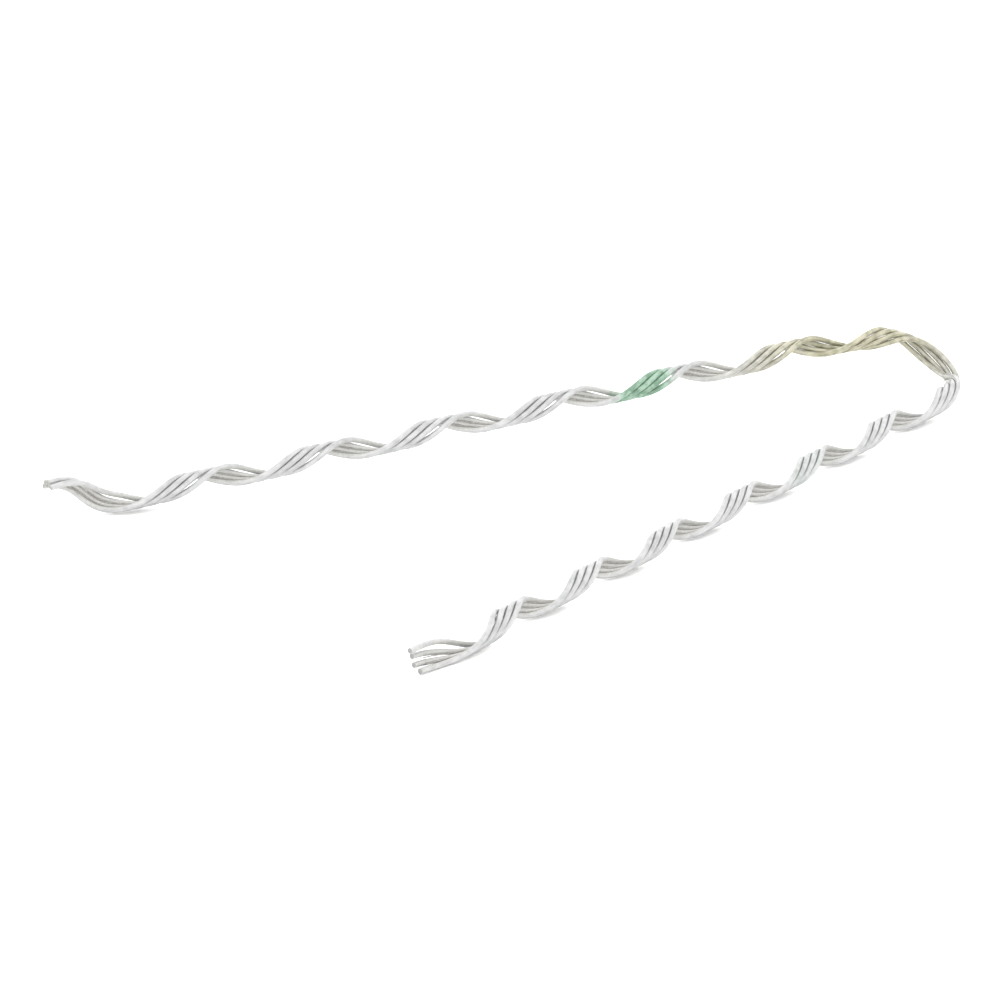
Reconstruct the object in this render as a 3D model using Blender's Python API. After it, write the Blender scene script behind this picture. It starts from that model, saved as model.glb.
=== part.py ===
"""Preformed dead end grip: four galvanised steel rods, laid side by side as a
left-hand helical ribbon and bent into a hairpin, with an eye loop between two
diverging legs that wrap a guy strand. Lengths in metres, +Z up, the grip lying
on the plane z = 0 with its loop towards +X.
"""

import math

import bpy
from mathutils import Vector

# Driving dimensions
ROD_COUNT = 4
ROD_DIAMETER = 0.0024
ROD_GAP = 0.0003
FORMED_BORE = 0.0060
LAY_LENGTH = 0.058
BACK_LEG_LENGTH = 0.401
FRONT_LEG_LENGTH = 0.396
BEND_LENGTH = 0.0921
LEG_ANGLE = math.radians(27.2)
LAY_START_ANGLE = math.radians(206.0)

# The back leg climbs to the loop, and the loop comes down to the front leg
BACK_LEG_SLOPE = 0.0521
DROP_START = -0.0161
DROP_LENGTH = 0.0921

# The last stretch of the back leg curls up from the ground and levels out again
CURL_LENGTH = 0.038
CURL_SLOPE = 0.56

# The lay slackens towards both ends
SLACK_LENGTH = 0.045
BACK_SLACK = 0.70
FRONT_SLACK = 1.0

# The front end opens and lifts a little
FLARE = 0.0012
FLARE_LENGTH = 0.070
LIFT_SLOPE = 0.03
LIFT_LENGTH = 0.040

# The last rod stands a little apart from the others along the back leg
LOOSE_ROD_GAP = 0.0003
LOOSE_FADE_LENGTH = 0.060

# The first rod stands a little apart from the others near the front end
SPLAY_GAP = 0.0005
SPLAY_LENGTH = 0.055
SPLAY_FADE_LENGTH = 0.020

# The first rod reaches this much past the others at the front end
END_CUT = 0.0045

# Resolution of the rods
STEPS_PER_LAY = 10
SUBSTEPS = 8

PART_NAME = "preformed_dead_end_grip"
ROD_COLOUR = (0.60, 0.61, 0.60, 1.0)
ROD_ROUGHNESS = 0.42
ROD_METALLIC = 0.9

FRONT_END = BEND_LENGTH + FRONT_LEG_LENGTH
LAY_RADIUS = (FORMED_BORE + ROD_DIAMETER) / 2
LAY_ANGLE = math.atan2(2 * math.pi * LAY_RADIUS, LAY_LENGTH)
STEP = LAY_LENGTH / STEPS_PER_LAY


def ease(u):
    """Fraction 0 to 1 of a change whose rate is a raised cosine over u = 0 to 1."""
    u = min(max(u, 0.0), 1.0)
    return u - math.sin(2 * math.pi * u) / (2 * math.pi)


def ease_rate(u):
    """Rate of the same change, as a share of its peak."""
    return (1 - math.cos(2 * math.pi * u)) / 2 if 0.0 < u < 1.0 else 0.0


def rod_spacing(gap):
    """Angle about the ribbon's axis between two rods with this gap between them."""
    centre_distance = (ROD_DIAMETER + gap) / math.cos(LAY_ANGLE)
    return 2 * math.asin(centre_distance / (2 * LAY_RADIUS))


def heading(s):
    """Direction of the ribbon's axis in plan at the length s past the bend's start."""
    turn = math.pi - LEG_ANGLE
    return -LEG_ANGLE / 2 - turn * ease(s / BEND_LENGTH)


def climb(s):
    """Sine of the axis's slope: up along the back leg, down round the loop, then level."""
    curl_start = CURL_LENGTH - BACK_LEG_LENGTH
    height_lost = BACK_LEG_SLOPE * (DROP_START - curl_start)
    u = (s - DROP_START) / DROP_LENGTH
    dip = BACK_LEG_SLOPE + 2 * height_lost / DROP_LENGTH
    slope = BACK_LEG_SLOPE * (1 - ease(u)) - dip * ease_rate(u)
    lift = LIFT_SLOPE * ease((s - FRONT_END + LIFT_LENGTH) / LIFT_LENGTH)
    return slope + lift - CURL_SLOPE * ease_rate((curl_start - s) / CURL_LENGTH)


def tangent(s):
    """Unit tangent of the ribbon's axis."""
    level = math.sqrt(1 - climb(s) ** 2)
    return Vector((math.cos(heading(s)) * level, math.sin(heading(s)) * level, climb(s)))


def axis_stations():
    """Length, point and tangent at each station of the ribbon's axis."""
    count = round((BACK_LEG_LENGTH + FRONT_END) / STEP)
    step = (BACK_LEG_LENGTH + FRONT_END) / count
    point = Vector((0.0, 0.0, 0.0))
    stations = []
    for i in range(count + 1):
        s = i * step - BACK_LEG_LENGTH
        stations.append((s, point.copy(), tangent(s)))
        for j in range(SUBSTEPS):
            point += tangent(s + (j + 0.5) * step / SUBSTEPS) * (step / SUBSTEPS)
    return stations


def wound(s):
    """Length of lay wound up to s, which falls short of s in both ends' slack stretches."""
    front = max(0.0, s - (FRONT_END - SLACK_LENGTH))
    back = max(0.0, SLACK_LENGTH - BACK_LEG_LENGTH - s)
    return s + (BACK_SLACK * back ** 2 - FRONT_SLACK * front ** 2) / (2 * SLACK_LENGTH)


def rod_angle(index, s):
    """Angle of one rod about the ribbon's axis, where it turns left-handed along s."""
    middle = (ROD_COUNT - 1) / 2
    turned = 2 * math.pi * wound(s) / LAY_LENGTH
    angle = LAY_START_ANGLE - turned + (index - middle) * rod_spacing(ROD_GAP)
    if index == ROD_COUNT - 1:
        apart = ease(-s / LOOSE_FADE_LENGTH)
        angle += rod_spacing(ROD_GAP + LOOSE_ROD_GAP * apart) - rod_spacing(ROD_GAP)
    if index == 0:
        apart = ease((s - FRONT_END + SPLAY_LENGTH) / SPLAY_FADE_LENGTH)
        angle -= rod_spacing(ROD_GAP + SPLAY_GAP * apart) - rod_spacing(ROD_GAP)
    return angle


def rod_points(index, stations):
    """Centre line of one rod, cut to its own length at the front end."""
    end = FRONT_END if index == 0 else FRONT_END - END_CUT
    points = []
    last = -BACK_LEG_LENGTH
    for s, centre, along in stations:
        left = Vector((-along.y, along.x, 0.0)).normalized()
        up = along.cross(left)
        angle = rod_angle(index, s)
        opened = ease((s - FRONT_END + FLARE_LENGTH) / (FLARE_LENGTH / 2))
        radius = LAY_RADIUS + FLARE * opened
        point = centre + (left * math.cos(angle) + up * math.sin(angle)) * radius
        if s > end + STEP / 100:
            points.append(points[-1].lerp(point, (end - last) / (s - last)))
            break
        points.append(point)
        last = s
    return points


def reach(line, k):
    """Lowest and highest coordinate k of a rod's surface."""
    values = []
    for i, point in enumerate(line):
        along = (line[min(i + 1, len(line) - 1)] - line[max(i - 1, 0)]).normalized()
        out = ROD_DIAMETER / 2 * math.sqrt(1 - min(1.0, along[k] ** 2))
        values += [point[k] - out, point[k] + out]
    return min(values), max(values)


def settle(lines):
    """Shift the rods so that their box stands on z = 0, centred on the origin."""
    spans = [[reach(line, k) for line in lines] for k in range(3)]
    low = [min(span[0] for span in row) for row in spans]
    high = [max(span[1] for span in row) for row in spans]
    shift = Vector((-(low[0] + high[0]) / 2, -(low[1] + high[1]) / 2, -low[2]))
    return [[point + shift for point in line] for line in lines]


def steel():
    """Galvanised steel."""
    material = bpy.data.materials.new("galvanised_steel")
    material.use_nodes = True
    shader = material.node_tree.nodes["Principled BSDF"]
    shader.inputs["Base Color"].default_value = ROD_COLOUR
    shader.inputs["Roughness"].default_value = ROD_ROUGHNESS
    shader.inputs["Metallic"].default_value = ROD_METALLIC
    return material


def add_rod(name, points, material, collection):
    """One round rod as a bevelled curve with closed ends."""
    curve = bpy.data.curves.new(name, "CURVE")
    curve.dimensions = "3D"
    curve.bevel_depth = ROD_DIAMETER / 2
    curve.bevel_resolution = 2
    curve.use_fill_caps = True
    spline = curve.splines.new("POLY")
    spline.points.add(len(points) - 1)
    for target, point in zip(spline.points, points):
        target.co = (*point, 1.0)
    spline.use_smooth = True
    curve.materials.append(material)
    rod = bpy.data.objects.new(name, curve)
    collection.objects.link(rod)
    return rod


def main():
    """Clear the scene and build the four rods."""
    for old in list(bpy.data.objects):
        bpy.data.objects.remove(old, do_unlink=True)
    collection = bpy.data.collections.new(PART_NAME)
    bpy.context.scene.collection.children.link(collection)
    stations = axis_stations()
    lines = settle([rod_points(index, stations) for index in range(ROD_COUNT)])
    material = steel()
    for index, points in enumerate(lines):
        add_rod(f"rod_{index + 1}", points, material, collection)


main()
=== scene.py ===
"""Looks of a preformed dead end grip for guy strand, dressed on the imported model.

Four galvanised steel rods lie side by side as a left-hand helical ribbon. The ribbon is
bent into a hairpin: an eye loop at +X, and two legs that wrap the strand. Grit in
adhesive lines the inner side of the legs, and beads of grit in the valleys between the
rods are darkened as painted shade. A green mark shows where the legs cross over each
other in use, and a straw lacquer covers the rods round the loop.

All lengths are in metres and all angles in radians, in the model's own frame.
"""

import logging
import math
from dataclasses import dataclass, field
from enum import Enum
from typing import Any

import bpy
from mathutils import Matrix, Vector

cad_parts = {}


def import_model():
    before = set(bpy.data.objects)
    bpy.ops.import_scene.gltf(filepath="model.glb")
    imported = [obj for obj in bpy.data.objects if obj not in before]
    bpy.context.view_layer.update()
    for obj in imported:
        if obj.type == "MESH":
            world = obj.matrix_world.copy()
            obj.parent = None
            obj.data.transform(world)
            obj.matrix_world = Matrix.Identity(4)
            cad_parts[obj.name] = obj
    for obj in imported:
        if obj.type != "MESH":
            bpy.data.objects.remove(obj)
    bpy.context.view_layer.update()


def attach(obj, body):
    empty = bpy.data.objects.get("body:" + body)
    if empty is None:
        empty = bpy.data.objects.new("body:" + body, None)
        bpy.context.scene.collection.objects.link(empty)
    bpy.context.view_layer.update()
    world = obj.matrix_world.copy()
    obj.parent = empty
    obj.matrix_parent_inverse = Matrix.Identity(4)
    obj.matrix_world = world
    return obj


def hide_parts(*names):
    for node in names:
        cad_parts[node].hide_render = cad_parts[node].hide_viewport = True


LOG = logging.getLogger("dead_end_grip")
UP = Vector((0.0, 0.0, 1.0))

# Types and settings of the nodes that the trees use most
MATH = "ShaderNodeMath"
VECTOR_MATH = "ShaderNodeVectorMath"
REMAP = "ShaderNodeMapRange"
MIX = "ShaderNodeMix"
NOISE = "ShaderNodeTexNoise"
CELLS = "ShaderNodeTexVoronoi"
ATTRIBUTE = "ShaderNodeAttribute"
PLUS = {"operation": "ADD"}
MINUS = {"operation": "SUBTRACT"}
TIMES = {"operation": "MULTIPLY"}
TIMES_PLUS = {"operation": "MULTIPLY_ADD"}
OVER = {"operation": "DIVIDE"}
CROSS = {"operation": "CROSS_PRODUCT"}
DOT = {"operation": "DOT_PRODUCT"}
SCALED = {"operation": "SCALE"}
SMOOTH = {"interpolation_type": "SMOOTHSTEP"}
SMOOTHER = {"interpolation_type": "SMOOTHERSTEP"}
COLOUR = {"data_type": "RGBA"}


class Leg(Enum):
    """The two legs of the grip, by where the photograph shows them."""

    BACK = "back"
    FRONT = "front"


def linear(code: str) -> tuple[float, float, float, float]:
    """Turn an sRGB hex colour into linear values.

    Args:
        code: six hex digits, with or without a leading hash.

    Returns:
        Red, green, blue and an alpha of 1, all linear.
    """
    digits = code.lstrip("#")
    values = []
    for start in (0, 2, 4):
        share = int(digits[start:start + 2], 16) / 255
        values.append(share / 12.92 if share <= 0.04045 else ((share + 0.055) / 1.055) ** 2.4)
    return (values[0], values[1], values[2], 1.0)


def add_node(
    tree: bpy.types.NodeTree,
    kind: str,
    settings: dict[str, Any] | None = None,
    inputs: dict[Any, Any] | None = None,
) -> bpy.types.Node:
    """Add a node to a tree.

    Args:
        tree: the tree that gets the node.
        kind: the node's type name.
        settings: the node's own properties.
        inputs: what each input holds, or the node or socket that it is linked from.

    Returns:
        The new node.
    """
    node = tree.nodes.new(kind)
    for name, value in (settings or {}).items():
        setattr(node, name, value)
    for key, value in (inputs or {}).items():
        if isinstance(value, bpy.types.Node):
            tree.links.new(value.outputs[0], node.inputs[key])
        elif isinstance(value, bpy.types.NodeSocket):
            tree.links.new(value, node.inputs[key])
        else:
            node.inputs[key].default_value = value
    return node


def ease(u: float) -> float:
    """Share 0 to 1 of a change whose rate is a raised cosine over u = 0 to 1."""
    u = min(max(u, 0.0), 1.0)
    return u - math.sin(2 * math.pi * u) / (2 * math.pi)


def ease_rate(u: float) -> float:
    """Rate of that change, as a share of its peak."""
    return (1 - math.cos(2 * math.pi * u)) / 2 if 0.0 < u < 1.0 else 0.0


@dataclass
class HairpinAxis:
    """Centre line of the ribbon: the back leg, the bend and the front leg.

    The length s along it is 0 where the bend starts, and negative on the back leg.
    """

    back_leg: float = 0.401
    front_leg: float = 0.396
    bend: float = 0.0921
    leg_spread: float = math.radians(27.2)
    back_leg_rise: float = 0.0521
    drop_start: float = -0.0161
    drop_length: float = 0.0921
    curl_length: float = 0.038
    curl_slope: float = 0.56
    lift_slope: float = 0.03
    lift_length: float = 0.040
    end_cut: float = 0.0045
    step: float = 0.001
    end_steps: tuple[float, ...] = (0.0, 0.0001, 0.0002, 0.0004, 0.0007)
    stations: list[tuple[float, Vector]] = field(default_factory=list)

    def __post_init__(self) -> None:
        """Walk along the axis and keep its stations."""
        point = Vector((0.0, 0.0, 0.0))
        last = -self.back_leg
        for s in self.lengths():
            point = point + self.tangent((s + last) / 2) * (s - last)
            self.stations.append((s, point.copy()))
            last = s

    def lengths(self) -> list[float]:
        """Where the stations are along the axis, closer together where the rods end."""
        total = self.back_leg + self.tip()
        count = round(total / self.step)
        places = [total * i / count for i in range(1, count)]
        for step in self.end_steps:
            places += [step, total - self.end_cut - step, total - step]
        return [place - self.back_leg for place in sorted(places)]

    def tip(self) -> float:
        """The length s of the front leg's end."""
        return self.bend + self.front_leg

    def heading(self, s: float) -> float:
        """Direction of the axis in plan at the length s."""
        return -self.leg_spread / 2 - (math.pi - self.leg_spread) * ease(s / self.bend)

    def climb(self, s: float) -> float:
        """Sine of the slope at s: up the back leg, down round the loop, then level."""
        curl_start = self.curl_length - self.back_leg
        height_lost = self.back_leg_rise * (self.drop_start - curl_start)
        u = (s - self.drop_start) / self.drop_length
        dip = self.back_leg_rise + 2 * height_lost / self.drop_length
        slope = self.back_leg_rise * (1 - ease(u)) - dip * ease_rate(u)
        lift = self.lift_slope * ease((s - self.tip() + self.lift_length) / self.lift_length)
        return slope + lift - self.curl_slope * ease_rate((curl_start - s) / self.curl_length)

    def tangent(self, s: float) -> Vector:
        """Unit tangent at the length s."""
        rise = self.climb(s)
        level = math.sqrt(1 - rise ** 2)
        turn = self.heading(s)
        return Vector((math.cos(turn) * level, math.sin(turn) * level, rise))

    def bend_start(self) -> Vector:
        """The axis's point where the bend starts."""
        return min(self.stations, key=lambda station: abs(station[0]))[1]

    def shift(self, offset: Vector) -> None:
        """Move the whole axis."""
        self.stations = [(s, point + offset) for s, point in self.stations]


@dataclass(frozen=True)
class Lay:
    """How the rods lie round the axis."""

    rods: int = 4
    rod_diameter: float = 0.0025
    bore: float = 0.0059
    lay_length: float = 0.058
    start: float = math.radians(206.0)
    gap: float = 0.0001
    bend_gap: float = 0.00005
    back_gap: float = 0.00001
    loose_gap: float = 0.0005
    loose_length: float = 0.060
    splay_gap: float = 0.0006
    splay_length: float = 0.055
    splay_fade: float = 0.020
    slack_length: float = 0.045
    back_slack: float = 0.70
    front_slack: float = 1.0
    flare: float = 0.0012
    flare_length: float = 0.070

    @property
    def radius(self) -> float:
        """Distance of each rod's centre line from the axis."""
        return (self.bore + self.rod_diameter) / 2

    def spacing(self, gap: float) -> float:
        """Angle about the axis between two rods with this gap between them."""
        lay_angle = math.atan2(2 * math.pi * self.radius, self.lay_length)
        return 2 * math.asin((self.rod_diameter + gap) / math.cos(lay_angle) / (2 * self.radius))

    def angle(self, place: float) -> float:
        """Angle at the bend's start of a line at this place, where 0 is the first rod."""
        return self.start + (place - (self.rods - 1) / 2) * self.spacing(self.gap)


@dataclass(frozen=True)
class Drift:
    """A rod's slow turn away from its neighbours, from one length s to another."""

    angle: float = 0.0
    begin: float = 0.0
    end: float = 1.0


@dataclass(frozen=True)
class WireMaps:
    """The patterns of the wire's finish, which its layers take their shapes from."""

    inner: bpy.types.NodeSocket
    spray: bpy.types.NodeSocket
    cut: bpy.types.NodeSocket
    mottle: bpy.types.Node
    streaks: bpy.types.Node
    grain: bpy.types.Node
    grit: bpy.types.Node
    wander: bpy.types.Node
    tone: bpy.types.Node
    place: bpy.types.Node


@dataclass(frozen=True)
class WireFinish:
    """Galvanised steel wire: hot-dip zinc drawn to a satin, with paint, lacquer and adhesive.

    Zinc reads as a pale, neutral grey metal with faint streaks along the wire.
    """

    zinc_light: str = "#AFAFAF"
    zinc_dark: str = "#969797"
    zinc_tones: tuple[float, float] = (0.36, 0.60)

    # Lacquer round the loop
    straw: str = "#A8A48B"
    straw_dark: str = "#706D50"
    straw_tones: tuple[float, float] = (0.38, 0.58)
    straw_span: tuple[float, float] = (-0.058, 0.045)
    straw_fade: float = 0.070
    straw_cover: float = 0.85

    # Crossover marks, worn where the grain is low
    green: str = "#809F8A"
    green_dark: str = "#52785F"
    green_tones: tuple[float, float] = (0.38, 0.58)
    back_mark: tuple[float, float] = (-0.1265, -0.0990)
    front_mark: tuple[float, float] = (0.186, 0.216)
    mark_fade: float = 0.006
    faint_cover: float = 0.12
    spray_edge: tuple[float, float] = (-0.1, 0.35)
    wear_tones: tuple[float, float] = (0.36, 0.52)
    worn_cover: float = 0.55

    # Adhesive film with grit, on the inner side and clear of the bend
    adhesive: str = "#BDBCB7"
    grit: str = "#94928D"
    grit_tones: tuple[float, float] = (0.2, 0.8)
    film_edge: tuple[float, float] = (0.35, 0.75)
    film_wander: float = 0.2
    film_cover: float = 0.5
    film_roughness: float = 0.75
    clear_span: tuple[float, float] = (-0.030, 0.105)
    clear_fade: float = 0.02

    # Cells to the metre: mottling 3 mm, wander 4 mm, streaks and grit 0.3 mm, grain 0.25 mm
    mottle_scale: float = 330.0
    wander_scale: float = 260.0
    streak_scale: float = 3000.0
    grit_scale: float = 3200.0
    grain_scale: float = 4000.0

    # The streaks' pattern is slowed to this share along the wire, which makes them 8 mm long
    streak_squeeze: float = 0.04
    streak_share: float = 0.45
    wander_tones: tuple[float, float] = (0.3, 0.7)
    wander_reach: float = 0.003

    cut_steel: str = "#858583"
    bare_metal: float = 0.45
    lacquered_metal: float = 0.3
    satin_tones: tuple[float, float] = (0.35, 0.65)
    satin_roughness: tuple[float, float] = (0.44, 0.28)
    bump_strength: float = 0.35
    bump_depth: float = 0.00008

    def build(self) -> bpy.types.Material:
        """Make the material.

        Returns:
            The material of all four rods.
        """
        material = bpy.data.materials.new("galvanised_steel_wire")
        material.use_nodes = True
        tree = material.node_tree
        shader = tree.nodes["Principled BSDF"]
        maps = self.maps(tree)
        zinc = self.blend(tree, maps.tone, self.zinc_tones, self.zinc_dark, self.zinc_light)
        straw, lacquered = self.lacquer(tree, maps, zinc)
        paint, painted = self.marks(tree, maps, lacquered)
        film = self.film(tree, maps)
        film_cover = add_node(tree, MATH, TIMES, {0: film, 1: self.film_cover})
        film_colour = self.blend(
            tree, maps.grit.outputs["Color"], self.grit_tones, self.grit, self.adhesive)
        filmed = add_node(tree, MIX, COLOUR, {0: film_cover, 6: painted, 7: film_colour})
        colour = add_node(tree, MIX, COLOUR, {
            0: maps.cut, 6: filmed.outputs[2], 7: linear(self.cut_steel)})
        tree.links.new(colour.outputs[2], shader.inputs["Base Color"])
        # Metal shows less through the lacquer, and less still as paint or adhesive covers it
        bare = add_node(tree, REMAP, inputs={
            0: straw, 3: self.bare_metal, 4: self.lacquered_metal})
        unpainted = add_node(tree, MATH, MINUS, {0: 1.0, 1: paint})
        open_metal = add_node(tree, MATH, TIMES, {0: bare, 1: unpainted})
        unfilmed = add_node(tree, MATH, MINUS, {0: 1.0, 1: film_cover})
        metal = add_node(tree, MATH, TIMES, {0: open_metal, 1: unfilmed})
        tree.links.new(metal.outputs[0], shader.inputs["Metallic"])
        satin = add_node(tree, REMAP, inputs={
            0: maps.tone,
            1: self.satin_tones[0], 2: self.satin_tones[1],
            3: self.satin_roughness[0], 4: self.satin_roughness[1],
        })
        rough = add_node(tree, MIX, inputs={0: film_cover, 2: satin, 3: self.film_roughness})
        tree.links.new(rough.outputs[0], shader.inputs["Roughness"])
        height = add_node(tree, MIX, inputs={
            0: film, 2: maps.streaks, 3: maps.grit.outputs["Distance"]})
        bump = add_node(tree, "ShaderNodeBump", inputs={
            "Strength": self.bump_strength,
            "Distance": self.bump_depth,
            "Height": height,
        })
        tree.links.new(bump.outputs[0], shader.inputs["Normal"])
        return material

    def maps(self, tree: bpy.types.NodeTree) -> WireMaps:
        """Add the patterns of the layers.

        Args:
            tree: the material's nodes.

        Returns:
            The patterns, all laid out along the straightened wire.
        """
        straight, along, inner, spray, cut = (
            add_node(tree, ATTRIBUTE, {"attribute_name": name}).outputs[output]
            for name, output in (
                ("straight", "Vector"), ("along", "Fac"), ("inner", "Fac"),
                ("spray", "Fac"), ("cut", "Fac"),
            )
        )
        mottle = add_node(tree, NOISE, inputs={
            "Vector": straight, "Scale": self.mottle_scale, "Detail": 4.0})
        squeezed = add_node(tree, "ShaderNodeMapping", inputs={
            "Vector": straight, "Scale": (1.0, 1.0, self.streak_squeeze)})
        streaks = add_node(tree, NOISE, inputs={
            "Vector": squeezed, "Scale": self.streak_scale, "Detail": 2.0})
        grain = add_node(tree, NOISE, inputs={
            "Vector": straight, "Scale": self.grain_scale, "Detail": 2.0})
        wander = add_node(tree, NOISE, inputs={
            "Vector": straight, "Scale": self.wander_scale, "Detail": 3.0})
        # The ends of each painted stretch wander by up to 3 mm
        shifted = add_node(tree, REMAP, inputs={
            0: wander,
            1: self.wander_tones[0], 2: self.wander_tones[1],
            3: -self.wander_reach, 4: self.wander_reach,
        })
        return WireMaps(
            inner=inner,
            spray=spray,
            cut=cut,
            mottle=mottle,
            streaks=streaks,
            grain=grain,
            grit=add_node(tree, CELLS, inputs={"Vector": straight, "Scale": self.grit_scale}),
            wander=wander,
            tone=add_node(tree, MIX, inputs={0: self.streak_share, 2: mottle, 3: streaks}),
            place=add_node(tree, MATH, PLUS, {0: along, 1: shifted}),
        )

    def blend(
        self,
        tree: bpy.types.NodeTree,
        pattern: bpy.types.Node | bpy.types.NodeSocket,
        tones: tuple[float, float],
        low: str,
        high: str,
    ) -> bpy.types.NodeSocket:
        """Colour a pattern.

        Args:
            tree: the material's nodes.
            pattern: the pattern to colour.
            tones: the pattern's values that get the two colours.
            low: the colour of the low values.
            high: the colour of the high values.

        Returns:
            The colour.
        """
        share = add_node(tree, REMAP, inputs={0: pattern, 1: tones[0], 2: tones[1]})
        return add_node(tree, MIX, COLOUR, {0: share, 6: linear(low), 7: linear(high)}).outputs[2]

    def span(
        self,
        tree: bpy.types.NodeTree,
        along: bpy.types.Node,
        ends: tuple[float, float],
        fade: float,
    ) -> bpy.types.Node:
        """Mask of a stretch of the wire.

        Args:
            tree: the material's nodes.
            along: the length s, wandering a little.
            ends: where the stretch starts and ends.
            fade: the length that each end takes to fade.

        Returns:
            The node whose result is 1 inside the stretch and 0 outside it.
        """
        rise = add_node(tree, REMAP, SMOOTH, {
            0: along, 1: ends[0] - fade / 2, 2: ends[0] + fade / 2})
        fall = add_node(tree, REMAP, SMOOTH, {
            0: along, 1: ends[1] + fade / 2, 2: ends[1] - fade / 2})
        return add_node(tree, MATH, TIMES, {0: rise, 1: fall})

    def lacquer(
        self,
        tree: bpy.types.NodeTree,
        maps: WireMaps,
        under: bpy.types.NodeSocket,
    ) -> tuple[bpy.types.Node, bpy.types.NodeSocket]:
        """Straw lacquer, darker where the zinc is dark.

        Args:
            tree: the material's nodes.
            maps: the shared patterns.
            under: the colour below.

        Returns:
            Where the lacquer is, and the colour with it on.
        """
        straw = self.span(tree, maps.place, self.straw_span, self.straw_fade)
        colour = self.blend(tree, maps.tone, self.straw_tones, self.straw_dark, self.straw)
        cover = add_node(tree, MATH, TIMES, {0: straw, 1: self.straw_cover})
        return straw, add_node(tree, MIX, COLOUR, {0: cover, 6: under, 7: colour}).outputs[2]

    def marks(
        self,
        tree: bpy.types.NodeTree,
        maps: WireMaps,
        under: bpy.types.NodeSocket,
    ) -> tuple[bpy.types.Node, bpy.types.NodeSocket]:
        """Green marks: all round on the back leg, faint and from one side on the front leg.

        Args:
            tree: the material's nodes.
            maps: the shared patterns.
            under: the colour below.

        Returns:
            Where the paint is, and the colour with it on.
        """
        back = self.span(tree, maps.place, self.back_mark, self.mark_fade)
        front = self.span(tree, maps.place, self.front_mark, self.mark_fade)
        sprayed = add_node(tree, REMAP, SMOOTH, {
            0: maps.spray, 1: self.spray_edge[0], 2: self.spray_edge[1]})
        front_side = add_node(tree, MATH, TIMES, {0: front, 1: sprayed})
        faint = add_node(tree, MATH, TIMES, {0: front_side, 1: self.faint_cover})
        marked = add_node(tree, MATH, {"operation": "MAXIMUM"}, {0: back, 1: faint})
        worn = add_node(tree, REMAP, inputs={
            0: maps.grain,
            1: self.wear_tones[0], 2: self.wear_tones[1],
            3: self.worn_cover, 4: 1.0,
        })
        paint = add_node(tree, MATH, TIMES, {0: marked, 1: worn})
        colour = self.blend(tree, maps.mottle, self.green_tones, self.green_dark, self.green)
        return paint, add_node(tree, MIX, COLOUR, {0: paint, 6: under, 7: colour}).outputs[2]

    def film(self, tree: bpy.types.NodeTree, maps: WireMaps) -> bpy.types.Node:
        """Mask of the adhesive film, on the inner side of the legs.

        Args:
            tree: the material's nodes.
            maps: the shared patterns.

        Returns:
            The node whose result is 1 where the film is.
        """
        bend = self.span(tree, maps.place, self.clear_span, self.clear_fade)
        bend_clear = add_node(tree, MATH, {**MINUS, "use_clamp": True}, {0: 1.0, 1: bend})
        edge = add_node(tree, REMAP, inputs={
            0: maps.wander,
            1: self.wander_tones[0], 2: self.wander_tones[1],
            3: -self.film_wander, 4: self.film_wander,
        })
        inner_place = add_node(tree, MATH, PLUS, {0: maps.inner, 1: edge})
        inside = add_node(tree, REMAP, SMOOTH, {
            0: inner_place, 1: self.film_edge[0], 2: self.film_edge[1]})
        return add_node(tree, MATH, TIMES, {0: inside, 1: bend_clear})


@dataclass(frozen=True)
class GritAndShadeFinish:
    """Hard grit set in adhesive: rough and dull, grey-brown, with pale grains; the grey-brown is
    partly painted shade for the valleys between the rods.
    """

    # Dark tone: grit colour darkened as painted shade for the valleys between the rods
    dark: str = "#84827C"
    pale: str = "#AFADA7"
    tones: tuple[float, float] = (0.25, 0.9)
    roughness: float = 0.82

    # Cells to the metre: one tone for each grain, 0.3 mm across
    grain_scale: float = 3200.0

    def build(self) -> bpy.types.Material:
        """Make the material.

        Returns:
            The material of the grit beds.
        """
        material = bpy.data.materials.new("grit_and_painted_shade")
        material.use_nodes = True
        tree = material.node_tree
        shader = tree.nodes["Principled BSDF"]
        straight = add_node(tree, ATTRIBUTE, {"attribute_name": "straight"}).outputs["Vector"]
        grains = add_node(tree, CELLS, inputs={"Vector": straight, "Scale": self.grain_scale})
        tone = add_node(tree, REMAP, inputs={
            0: grains.outputs["Color"], 1: self.tones[0], 2: self.tones[1]})
        colour = add_node(tree, MIX, COLOUR, {0: tone, 6: linear(self.dark), 7: linear(self.pale)})
        tree.links.new(colour.outputs[2], shader.inputs["Base Color"])
        shader.inputs["Roughness"].default_value = self.roughness
        return material


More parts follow.
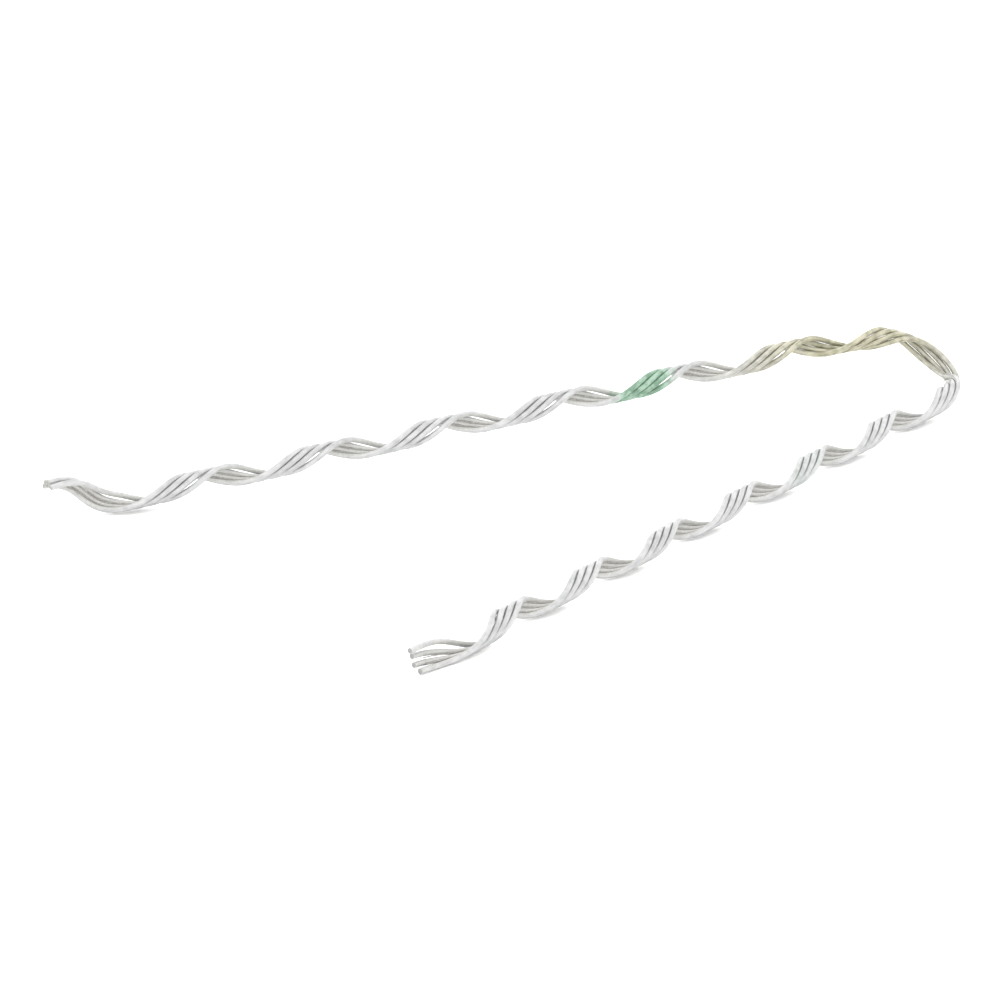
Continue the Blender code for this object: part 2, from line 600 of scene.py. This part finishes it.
@dataclass(frozen=True)
class LayTree:
    """Geometry Nodes tree that lays one line round the axis and makes it a solid.

    The same tree lays the rods and the beads of grit in the valleys between them; the beads' dark
    tone is partly painted shade.
    """

    name: str = "lay_round_axis"

    # Faces turned this much to the axis are cut ends
    cut_facing: float = 0.85

    # A grain's middle stands out and its edge lies in, by these shares of its height
    grain_cell: float = 0.8
    grain_middle: float = 1.0
    grain_edge: float = -0.6

    def sockets(self) -> list[tuple[str, str]]:
        """Name and type of each named input."""
        return [
            ("Section radius", "NodeSocketFloat"),
            ("Lay radius", "NodeSocketFloat"),
            ("Lay length", "NodeSocketFloat"),
            ("Start angle", "NodeSocketFloat"),
            ("Back leg", "NodeSocketFloat"),
            ("Bend", "NodeSocketFloat"),
            ("Bend spread", "NodeSocketFloat"),
            ("Drift angle", "NodeSocketFloat"),
            ("Drift begin", "NodeSocketFloat"),
            ("Drift end", "NodeSocketFloat"),
            ("Back slack to", "NodeSocketFloat"),
            ("Back slack", "NodeSocketFloat"),
            ("Front slack from", "NodeSocketFloat"),
            ("Front slack", "NodeSocketFloat"),
            ("Flare", "NodeSocketFloat"),
            ("Flare begin", "NodeSocketFloat"),
            ("Flare end", "NodeSocketFloat"),
            ("Trim start", "NodeSocketFloat"),
            ("Trim end", "NodeSocketFloat"),
            ("Chamfer", "NodeSocketFloat"),
            ("Sides", "NodeSocketInt"),
            ("Offset along", "NodeSocketFloat"),
            ("Spray from", "NodeSocketVector"),
            ("Grain", "NodeSocketFloat"),
            ("Grain size", "NodeSocketFloat"),
            ("Material", "NodeSocketMaterial"),
        ]

    def build(self) -> bpy.types.NodeTree:
        """Build the tree.

        Returns:
            The node group, ready for a modifier.
        """
        tree = bpy.data.node_groups.new(self.name, "GeometryNodeTree")
        tree.interface.new_socket(name="Axis", in_out="INPUT", socket_type="NodeSocketGeometry")
        for name, kind in self.sockets():
            tree.interface.new_socket(name=name, in_out="INPUT", socket_type=kind)
        tree.interface.new_socket(name="Solid", in_out="OUTPUT", socket_type="NodeSocketGeometry")
        sizes = add_node(tree, "NodeGroupInput").outputs
        line = self.lay_line(tree, sizes)
        solid = self.sweep(tree, sizes, line)
        real = add_node(tree, "GeometryNodeRealizeInstances", inputs={"Geometry": solid})
        dressed = add_node(tree, "GeometryNodeSetMaterial",
                           inputs={"Geometry": real, "Material": sizes["Material"]})
        add_node(tree, "NodeGroupOutput", inputs={"Solid": dressed})
        return tree

    def lay_line(self, tree: bpy.types.NodeTree, sizes: Any) -> bpy.types.Node:
        """Turn the axis into a line laid round it.

        Args:
            tree: the tree to add to.
            sizes: the tree's named inputs.

        Returns:
            The capture node, whose curve is laid out and whose outputs are the length s,
            the direction away from the axis and the axis's tangent.
        """
        length = add_node(tree, "GeometryNodeSplineParameter").outputs["Length"]
        s = add_node(tree, MATH, MINUS, {0: length, 1: sizes["Back leg"]})
        tangent = add_node(tree, "GeometryNodeInputTangent")
        across = add_node(tree, VECTOR_MATH, CROSS, {0: UP, 1: tangent})
        left = add_node(tree, VECTOR_MATH, {"operation": "NORMALIZE"}, {0: across})
        over = add_node(tree, VECTOR_MATH, CROSS, {0: tangent, 1: left})
        behind = add_node(tree, MATH, {**MINUS, "use_clamp": True},
                          {0: sizes["Back slack to"], 1: s})
        ahead = add_node(tree, MATH, {**MINUS, "use_clamp": True},
                         {0: s, 1: sizes["Front slack from"]})
        wound = s
        for past, rate in ((behind, "Back slack"), (ahead, "Front slack")):
            square = add_node(tree, MATH, TIMES, {0: past, 1: past})
            wound = add_node(tree, MATH, TIMES_PLUS,
                             {0: square, 1: sizes[rate], 2: wound})
        lays = add_node(tree, MATH, OVER, {0: wound, 1: sizes["Lay length"]})
        turned = add_node(tree, MATH, TIMES_PLUS,
                          {0: lays, 1: -2 * math.pi, 2: sizes["Start angle"]})
        drift = add_node(tree, REMAP, SMOOTHER, {
            0: s,
            1: sizes["Drift begin"], 2: sizes["Drift end"],
            3: 0.0, 4: sizes["Drift angle"],
        })
        middle = add_node(tree, MATH, TIMES, {0: sizes["Bend"], 1: 0.5})
        into = add_node(tree, REMAP, SMOOTHER,
                        {0: s, 1: 0.0, 2: middle})
        out = add_node(tree, REMAP, SMOOTHER,
                       {0: s, 1: sizes["Bend"], 2: middle})
        in_bend = add_node(tree, MATH, TIMES, {0: into, 1: out})
        spread = add_node(tree, MATH, TIMES_PLUS,
                          {0: in_bend, 1: sizes["Bend spread"], 2: turned})
        angle = add_node(tree, MATH, PLUS, {0: spread, 1: drift})
        cosine = add_node(tree, MATH, {"operation": "COSINE"}, {0: angle})
        sine = add_node(tree, MATH, {"operation": "SINE"}, {0: angle})
        sideways = add_node(tree, VECTOR_MATH, SCALED, {0: left, "Scale": cosine})
        upwards = add_node(tree, VECTOR_MATH, SCALED, {0: over, "Scale": sine})
        outward = add_node(tree, VECTOR_MATH, PLUS, {0: sideways, 1: upwards})
        kept = tree.nodes.new("GeometryNodeCaptureAttribute")
        for kind, name in (("FLOAT", "s"), ("VECTOR", "outward"), ("VECTOR", "tangent")):
            kept.capture_items.new(kind, name)
        tree.links.new(sizes["Axis"], kept.inputs["Geometry"])
        tree.links.new(s.outputs[0], kept.inputs["s"])
        tree.links.new(outward.outputs[0], kept.inputs["outward"])
        tree.links.new(tangent.outputs[0], kept.inputs["tangent"])
        return kept

    def sweep(self, tree: bpy.types.NodeTree, sizes: Any, kept: bpy.types.Node) -> bpy.types.Node:
        """Sweep a round section along the laid line, with chamfered closed ends.

        Args:
            tree: the tree to add to.
            sizes: the tree's named inputs.
            kept: the capture node of the laid line.

        Returns:
            The node that holds the finished solid.
        """
        s, outward, tangent = (kept.outputs[name] for name in ("s", "outward", "tangent"))
        trimmed = add_node(tree, "GeometryNodeTrimCurve", {"mode": "LENGTH"}, {
            "Curve": kept.outputs["Geometry"], 4: sizes["Trim start"], 5: sizes["Trim end"]})
        flare = add_node(tree, REMAP, SMOOTHER, {
            0: s,
            1: sizes["Flare begin"], 2: sizes["Flare end"],
            3: 0.0, 4: sizes["Flare"],
        })
        radius = add_node(tree, MATH, PLUS, {0: sizes["Lay radius"], 1: flare})
        offset = add_node(tree, VECTOR_MATH, SCALED, {0: outward, "Scale": radius})
        laid = add_node(tree, "GeometryNodeSetPosition", inputs={
            "Geometry": trimmed, "Offset": offset})
        here = add_node(tree, MATH, PLUS, {0: s, 1: sizes["Back leg"]})
        from_start = add_node(tree, MATH, MINUS,
                              {0: here, 1: sizes["Trim start"]})
        to_end = add_node(tree, MATH, MINUS, {0: sizes["Trim end"], 1: here})
        nearest = add_node(tree, MATH, {"operation": "MINIMUM"}, {0: from_start, 1: to_end})
        lost = add_node(tree, MATH, OVER,
                        {0: sizes["Chamfer"], 1: sizes["Section radius"]})
        smallest = add_node(tree, MATH, MINUS, {0: 1.0, 1: lost})
        scale = add_node(tree, REMAP,
                         inputs={0: nearest, 1: 0.0, 2: sizes["Chamfer"], 3: smallest, 4: 1.0})
        circle = add_node(tree, "GeometryNodeCurvePrimitiveCircle",
                          inputs={"Resolution": sizes["Sides"], "Radius": sizes["Section radius"]})
        around = tree.nodes.new("GeometryNodeCaptureAttribute")
        around.capture_items.new("VECTOR", "around")
        tree.links.new(circle.outputs[0], around.inputs["Geometry"])
        position = add_node(tree, "GeometryNodeInputPosition")
        tree.links.new(position.outputs[0], around.inputs["around"])
        tube = add_node(tree, "GeometryNodeCurveToMesh", inputs={
            "Curve": laid, "Profile Curve": around, "Scale": scale, "Fill Caps": True})
        along = add_node(tree, MATH, PLUS, {0: s, 1: sizes["Offset along"]})
        lengthways = add_node(tree, "ShaderNodeCombineXYZ", inputs={"Z": along})
        straight = add_node(tree, VECTOR_MATH, PLUS,
                            {0: around.outputs["around"], 1: lengthways})
        grained = self.grain(tree, sizes, tube, straight)
        normal = add_node(tree, "GeometryNodeInputNormal")
        inward = add_node(tree, VECTOR_MATH, DOT,
                          {0: normal, 1: outward}).outputs["Value"]
        inner = add_node(tree, MATH, TIMES, {0: inward, 1: -1.0})
        endways = add_node(tree, VECTOR_MATH, DOT,
                           {0: normal, 1: tangent}).outputs["Value"]
        facing = add_node(tree, MATH, {"operation": "ABSOLUTE"}, {0: endways})
        cut = add_node(tree, MATH, {"operation": "GREATER_THAN"}, {0: facing, 1: self.cut_facing})
        spray = add_node(tree, VECTOR_MATH, DOT,
                         {0: normal, 1: sizes["Spray from"]}).outputs["Value"]
        solid = grained
        for name, kind, domain, value in (
            ("straight", "FLOAT_VECTOR", "POINT", straight),
            ("along", "FLOAT", "POINT", s),
            ("inner", "FLOAT", "POINT", inner),
            ("spray", "FLOAT", "POINT", spray),
            ("cut", "FLOAT", "FACE", cut),
        ):
            solid = add_node(
                tree,
                "GeometryNodeStoreNamedAttribute",
                {"data_type": kind, "domain": domain},
                {"Geometry": solid, "Name": name, "Value": value},
            )
        return solid

    def grain(
        self,
        tree: bpy.types.NodeTree,
        sizes: Any,
        tube: bpy.types.Node,
        straight: bpy.types.Node,
    ) -> bpy.types.Node:
        """Roughen the tube's surface with grains.

        Args:
            tree: the tree to add to.
            sizes: the tree's named inputs.
            tube: the swept tube.
            straight: each point's place on the tube laid out straight.

        Returns:
            The node that holds the roughened tube.
        """
        fineness = add_node(tree, MATH, OVER, {0: 1.0, 1: sizes["Grain size"]})
        cells = add_node(tree, CELLS, inputs={"Vector": straight, "Scale": fineness})
        height = add_node(tree, REMAP, inputs={
            0: cells, 1: 0.0, 2: self.grain_cell, 3: self.grain_middle, 4: self.grain_edge})
        push = add_node(tree, MATH, TIMES, {0: height, 1: sizes["Grain"]})
        normal = add_node(tree, "GeometryNodeInputNormal")
        offset = add_node(tree, VECTOR_MATH, SCALED, {0: normal, "Scale": push})
        return add_node(tree, "GeometryNodeSetPosition", inputs={
            "Geometry": tube, "Offset": offset})


@dataclass
class Ribbon:
    """What all lines laid round the axis share, and how they are made solid."""

    axis: HairpinAxis = field(default_factory=HairpinAxis)
    lay: Lay = field(default_factory=Lay)
    spray_from: Vector = field(default_factory=lambda: Vector((-0.55, -0.45, 0.70)).normalized())
    tree: bpy.types.NodeTree | None = None

    def wound(self, s: float) -> float:
        """Length of lay wound up to s, which falls short of s towards both ends."""
        lay = self.lay
        front = max(0.0, s - self.axis.tip() + lay.slack_length)
        back = max(0.0, lay.slack_length - self.axis.back_leg - s)
        missed = lay.front_slack * front ** 2 - lay.back_slack * back ** 2
        return s - missed / (2 * lay.slack_length)

    def drift(self, rod: int) -> Drift:
        """How a rod leaves its even place: the first in front, the others on the back leg."""
        lay, tip = self.lay, self.axis.tip()
        if rod == 0:
            apart = lay.spacing(lay.splay_gap) - lay.spacing(lay.gap)
            return Drift(-apart, tip - lay.splay_length, tip - lay.splay_length + lay.splay_fade)
        closer = lay.spacing(lay.gap) - lay.spacing(lay.back_gap)
        if rod < lay.rods - 1:
            return Drift(-rod * closer, 0.0, -lay.loose_length)
        apart = lay.spacing(lay.loose_gap) - lay.spacing(lay.gap)
        return Drift(apart - (rod - 1) * closer, 0.0, -lay.loose_length)

    def rod_line(self, rod: int) -> list[Vector]:
        """Centre line of one rod, up to where the front end cuts it."""
        lay, drift = self.lay, self.drift(rod)
        end = self.axis.tip() - self.cut(rod)
        line = []
        for s, point in self.axis.stations:
            if s > end + self.axis.step / 100:
                break
            along = self.axis.tangent(s)
            left = Vector((-along.y, along.x, 0.0)).normalized()
            over = along.cross(left)
            angle = lay.angle(rod) - 2 * math.pi * self.wound(s) / lay.lay_length
            angle += drift.angle * ease((s - drift.begin) / (drift.end - drift.begin))
            opened = ease((s - self.axis.tip() + lay.flare_length) / (lay.flare_length / 2))
            radius = lay.radius + lay.flare * opened
            line.append(point + (left * math.cos(angle) + over * math.sin(angle)) * radius)
        return line

    def settle(self) -> None:
        """Move the axis so that the rods stand on z = 0 with their box centred on the origin."""
        low, high = Vector((1.0, 1.0, 1.0)), Vector((-1.0, -1.0, -1.0))
        radius = self.lay.rod_diameter / 2
        for rod in range(self.lay.rods):
            line = self.rod_line(rod)
            for i, point in enumerate(line):
                along = (line[min(i + 1, len(line) - 1)] - line[max(i - 1, 0)]).normalized()
                out = Vector([radius * math.sqrt(1 - min(1.0, value ** 2)) for value in along])
                low = Vector(map(min, low, point - out))
                high = Vector(map(max, high, point + out))
        self.axis.shift(Vector((-(low.x + high.x) / 2, -(low.y + high.y) / 2, -low.z)))

    def cut(self, rod: int) -> float:
        """How much a rod falls short of the front end."""
        return 0.0 if rod == 0 else self.axis.end_cut

    def length(self) -> float:
        """Length of the whole axis."""
        return self.axis.back_leg + self.axis.tip()

    def carrier(self, points: list[Vector]) -> bpy.types.Object:
        """A curve along the axis that a modifier can work on."""
        curve = bpy.data.curves.new("axis_line", "CURVE")
        curve.dimensions = "3D"
        spline = curve.splines.new("POLY")
        spline.points.add(len(points) - 1)
        for target, point in zip(spline.points, points):
            target.co = (*point, 1.0)
        carrier = bpy.data.objects.new("axis_line", curve)
        bpy.context.scene.collection.objects.link(carrier)
        return carrier

    def grow(self, name: str, values: dict[str, Any]) -> bpy.types.Mesh:
        """Lay one line round the axis and keep it as a plain mesh.

        Args:
            name: the mesh's name.
            values: the tree's named inputs that differ from the ribbon's own.

        Returns:
            The finished mesh, with its places in its vertices.
        """
        if self.tree is None:
            self.tree = LayTree().build()
        carrier = self.carrier([point for _, point in self.axis.stations])
        shared = {
            "Lay length": self.lay.lay_length,
            "Back leg": self.axis.back_leg,
            "Bend": self.axis.bend,
            "Spray from": tuple(self.spray_from),
            "Back slack to": self.lay.slack_length - self.axis.back_leg,
            "Back slack": self.lay.back_slack / (2 * self.lay.slack_length),
            "Front slack from": self.axis.tip() - self.lay.slack_length,
            "Front slack": -self.lay.front_slack / (2 * self.lay.slack_length),
            "Flare": self.lay.flare,
            "Flare begin": self.axis.tip() - self.lay.flare_length,
            "Flare end": self.axis.tip() - self.lay.flare_length / 2,
            "Trim start": 0.0,
            "Trim end": self.length(),
            "Grain": 0.0,
            "Grain size": 0.001,
            "Chamfer": 0.0,
            "Drift angle": 0.0,
            "Drift begin": 0.0,
            "Drift end": 1.0,
            **values,
        }
        modifier = carrier.modifiers.new("lay", "NODES")
        modifier.node_group = self.tree
        for item in self.tree.interface.items_tree:
            if item.in_out == "INPUT" and item.name in shared:
                modifier[item.identifier] = shared[item.name]
        evaluated = carrier.evaluated_get(bpy.context.evaluated_depsgraph_get())
        mesh = bpy.data.meshes.new_from_object(evaluated)
        mesh.name = name
        carrier.modifiers.clear()
        bpy.data.objects.remove(carrier, do_unlink=True)
        return mesh


@dataclass
class RodSet:
    """The four formed rods."""

    ribbon: Ribbon
    finish: WireFinish = field(default_factory=WireFinish)
    sides: int = 28
    chamfer: float = 0.0002
    sharp_edge: float = math.radians(35)

    # Each rod takes its patterns from another place
    pattern_step: float = 1.7

    def build(self) -> list[bpy.types.Object]:
        """Make the rods and let each stand for its node.

        Returns:
            The four finished pieces.
        """
        lay = self.ribbon.lay
        material = self.finish.build()
        pieces = []
        for rod in range(lay.rods):
            drift = self.ribbon.drift(rod)
            from_middle = rod - (lay.rods - 1) / 2
            mesh = self.ribbon.grow(f"wire_{rod + 1}", {
                "Section radius": lay.rod_diameter / 2,
                "Lay radius": lay.radius,
                "Start angle": lay.angle(rod),
                "Bend spread": from_middle * (lay.spacing(lay.bend_gap) - lay.spacing(lay.gap)),
                "Drift angle": drift.angle,
                "Drift begin": drift.begin,
                "Drift end": drift.end,
                "Trim end": self.ribbon.length() - self.ribbon.cut(rod),
                "Chamfer": self.chamfer,
                "Sides": self.sides,
                "Offset along": self.pattern_step * rod,
                "Material": material,
            })
            mesh.shade_smooth()
            mesh.set_sharp_from_angle(angle=self.sharp_edge)
            piece = bpy.data.objects.new(f"wire_{rod + 1}", mesh)
            bpy.context.scene.collection.objects.link(piece)
            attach(piece, "root")
            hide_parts(f"rod_{rod + 1}")
            pieces.append(piece)
        return pieces


@dataclass
class GritAndShadeBeds:
    """Beads of grit in adhesive, in the valleys between the rods on the strand's side, darker than
    the rods as painted valley shade.
    """

    ribbon: Ribbon
    finish: GritAndShadeFinish = field(default_factory=GritAndShadeFinish)
    bead_radius: float = 0.00024
    grain: float = 0.00008
    grain_size: float = 0.00030
    sides: int = 7
    clear_of_bend: float = 0.030
    clear_of_end: float = 0.010

    # Each bead takes its grains from another place
    pattern_step: float = 3.1

    def lay_radius(self, gap: float) -> float:
        """Distance from the axis at which a bead touches the two rods that leave this gap."""
        lay = self.ribbon.lay
        half_gap = (lay.rod_diameter + gap) / 2
        reach = math.sqrt((lay.rod_diameter / 2 + self.bead_radius) ** 2 - half_gap ** 2)
        return lay.radius * math.cos(lay.spacing(gap) / 2) - reach

    def drift(self, leg: Leg, valley: int) -> Drift:
        """How a valley follows the rods beside it."""
        if leg is Leg.FRONT:
            return Drift()
        sides = [self.ribbon.drift(rod) for rod in (valley, valley + 1) if rod > 0]
        return Drift(sum(side.angle for side in sides) / 2, sides[0].begin, sides[0].end)

    def valleys(self, leg: Leg) -> range:
        """The valleys that the rods close on this leg: its last one is open on the back leg."""
        count = self.ribbon.lay.rods - 1
        return range(count - 1) if leg is Leg.BACK else range(count)

    def span(self, leg: Leg, valley: int) -> tuple[float, float]:
        """Where a bead starts and ends, as lengths from the axis's start."""
        axis = self.ribbon.axis
        if leg is Leg.BACK:
            return self.clear_of_end, axis.back_leg - self.clear_of_bend
        clear = self.ribbon.lay.splay_length if valley == 0 else self.clear_of_end
        start = axis.back_leg + axis.bend + self.clear_of_bend / 2
        return start, self.ribbon.length() - clear

    def build(self) -> list[bpy.types.Object]:
        """Make one piece for each leg.

        Returns:
            The two finished pieces.
        """
        lay = self.ribbon.lay
        material = self.finish.build()
        pieces = []
        for leg in Leg:
            parts = []
            for valley in self.valleys(leg):
                start, end = self.span(leg, valley)
                drift = self.drift(leg, valley)
                gap = lay.back_gap if leg is Leg.BACK else lay.gap
                parts.append(self.ribbon.grow(f"grit_{leg.value}_{valley}", {
                    "Section radius": self.bead_radius,
                    "Lay radius": self.lay_radius(gap),
                    "Start angle": lay.angle(valley + 0.5),
                    "Bend spread": 0.0,
                    "Drift angle": drift.angle,
                    "Drift begin": drift.begin,
                    "Drift end": drift.end,
                    "Trim start": start,
                    "Trim end": end,
                    "Sides": self.sides,
                    "Offset along": self.pattern_step * valley,
                    "Grain": self.grain,
                    "Grain size": self.grain_size,
                    "Material": material,
                }))
            piece = self.join(parts, f"grit_and_shade_bed_{leg.value}_leg")
            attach(piece, "root")
            pieces.append(piece)
        return pieces

    def join(self, parts: list[bpy.types.Mesh], name: str) -> bpy.types.Object:
        """Join the beads of one leg into one piece."""
        objects = []
        for mesh in parts:
            mesh.shade_smooth()
            bead = bpy.data.objects.new(mesh.name, mesh)
            bpy.context.scene.collection.objects.link(bead)
            objects.append(bead)
        chosen = {"active_object": objects[0], "selected_editable_objects": objects}
        with bpy.context.temp_override(**chosen):
            bpy.ops.object.join()
        objects[0].name = name
        return objects[0]


@dataclass
class Studio:
    """Pale floor and soft light from all sides."""

    floor_half: float = 6.0
    floor_colour: str = "#FCFCFB"
    floor_roughness: float = 0.9
    sky_colour: str = "#FFFFFF"
    sky_strength: float = 2.0
    key_size: float = 1.6
    key_power: float = 2.0
    key_place: Vector = field(default_factory=lambda: Vector((-0.7, -0.5, 1.5)))

    def build(self) -> None:
        """Make the floor, the sky and the key light."""
        mesh = bpy.data.meshes.new("floor")
        half = self.floor_half
        corners = [(-half, -half, 0), (half, -half, 0), (half, half, 0), (-half, half, 0)]
        mesh.from_pydata(corners, [], [(0, 1, 2, 3)])
        floor = bpy.data.objects.new("floor", mesh)
        bpy.context.scene.collection.objects.link(floor)
        paper = bpy.data.materials.new("matt_paper_floor")
        paper.use_nodes = True
        shader = paper.node_tree.nodes["Principled BSDF"]
        shader.inputs["Base Color"].default_value = linear(self.floor_colour)
        shader.inputs["Roughness"].default_value = self.floor_roughness
        mesh.materials.append(paper)
        world = bpy.data.worlds.new("soft_sky")
        world.use_nodes = True
        sky = world.node_tree.nodes["Background"]
        sky.inputs["Color"].default_value = linear(self.sky_colour)
        sky.inputs["Strength"].default_value = self.sky_strength
        bpy.context.scene.world = world
        light = bpy.data.lights.new("key", "AREA")
        light.size = self.key_size
        light.energy = self.key_power
        key = bpy.data.objects.new("key", light)
        key.location = self.key_place
        key.rotation_euler = (-self.key_place).to_track_quat("-Z", "Y").to_euler()
        bpy.context.scene.collection.objects.link(key)
        bpy.context.scene.view_settings.view_transform = "Standard"


@dataclass(frozen=True)
class PhotoCamera:
    """The camera of the photograph, worked out from the legs and the loop in it."""

    elevation: float = math.radians(19.7275)
    azimuth: float = math.radians(42.14)
    roll: float = math.radians(0.75)
    distance: float = 2.9
    lens: float = 244.75
    clip_end: float = 50.0
    target_from_bend: Vector = field(default_factory=lambda: Vector((-0.22255, -0.0076, -0.02331)))

    def build(self, bend_start: Vector) -> None:
        """Place the camera.

        Args:
            bend_start: the axis's point where the bend starts.
        """
        target = bend_start + self.target_from_bend
        level = math.cos(self.elevation)
        sight = Vector((
            math.sin(self.azimuth) * level,
            math.cos(self.azimuth) * level,
            -math.sin(self.elevation),
        ))
        data = bpy.data.cameras.new("photo_camera")
        data.lens = self.lens
        data.clip_end = self.clip_end
        camera = bpy.data.objects.new("photo_camera", data)
        aimed = sight.to_track_quat("-Z", "Y").to_matrix().to_4x4()
        turn = aimed @ Matrix.Rotation(self.roll, 4, "Z")
        camera.matrix_world = Matrix.Translation(target - sight * self.distance) @ turn
        bpy.context.scene.collection.objects.link(camera)
        bpy.context.scene.camera = camera


def main() -> None:
    """Build the grip, the studio and the camera."""
    logging.basicConfig(level=logging.INFO, format="%(name)s: %(message)s")
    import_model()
    ribbon = Ribbon()
    ribbon.settle()
    for maker in (RodSet(ribbon), GritAndShadeBeds(ribbon)):
        for piece in maker.build():
            LOG.info("%s: %d faces", piece.name, len(piece.data.polygons))
    Studio().build()
    PhotoCamera().build(ribbon.axis.bend_start())


if __name__ == "__main__":
    main()
